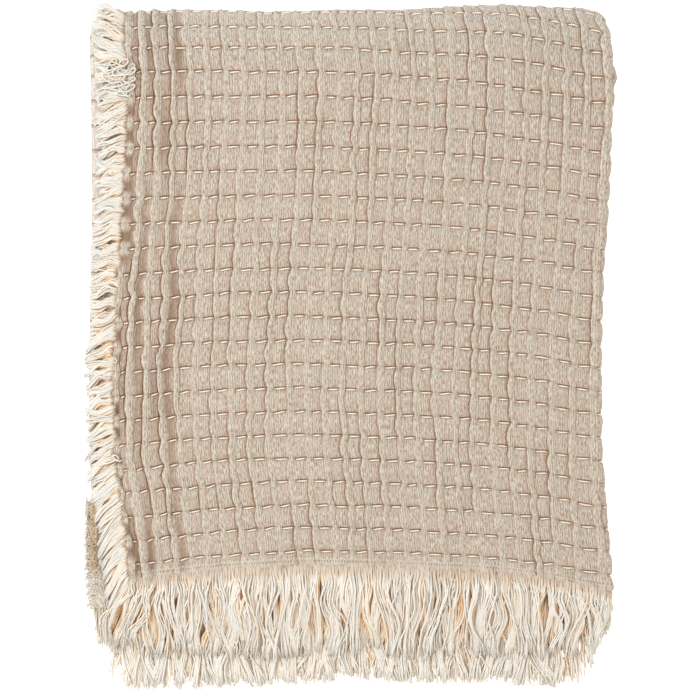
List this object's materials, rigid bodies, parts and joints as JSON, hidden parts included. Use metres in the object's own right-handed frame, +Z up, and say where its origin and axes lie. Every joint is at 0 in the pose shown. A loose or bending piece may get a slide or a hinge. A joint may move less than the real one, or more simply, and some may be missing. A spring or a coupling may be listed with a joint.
{
  "type": "folded fringed kantha throw",
  "caption": "Quilted cotton gauze throw with rows of running stitch and fringed edges, folded in three both ways into a soft flat pile.",
  "frame": {"origin": "on the surface that the folded throw lies on, under the middle of its outline", "axes": "+Z up from that surface, +Y from the showing end fringe towards the turn at the far end, +X towards the plain folded side, away from the side fringe"},
  "size_m": [0.44, 0.5602, 0.0505],
  "materials": {
    "gauze": "matt beige cotton gauze, crinkled and hand quilted",
    "yarn": "soft undyed cotton yarn, loosely spun"
  },
  "bodies": {
    "root": {"cloth": "gauze", "end_fringe": "yarn", "side_fringe": "yarn", "inside_end_fringe": "yarn", "inside_side_fringe": "yarn"}
  },
  "joints": []
}
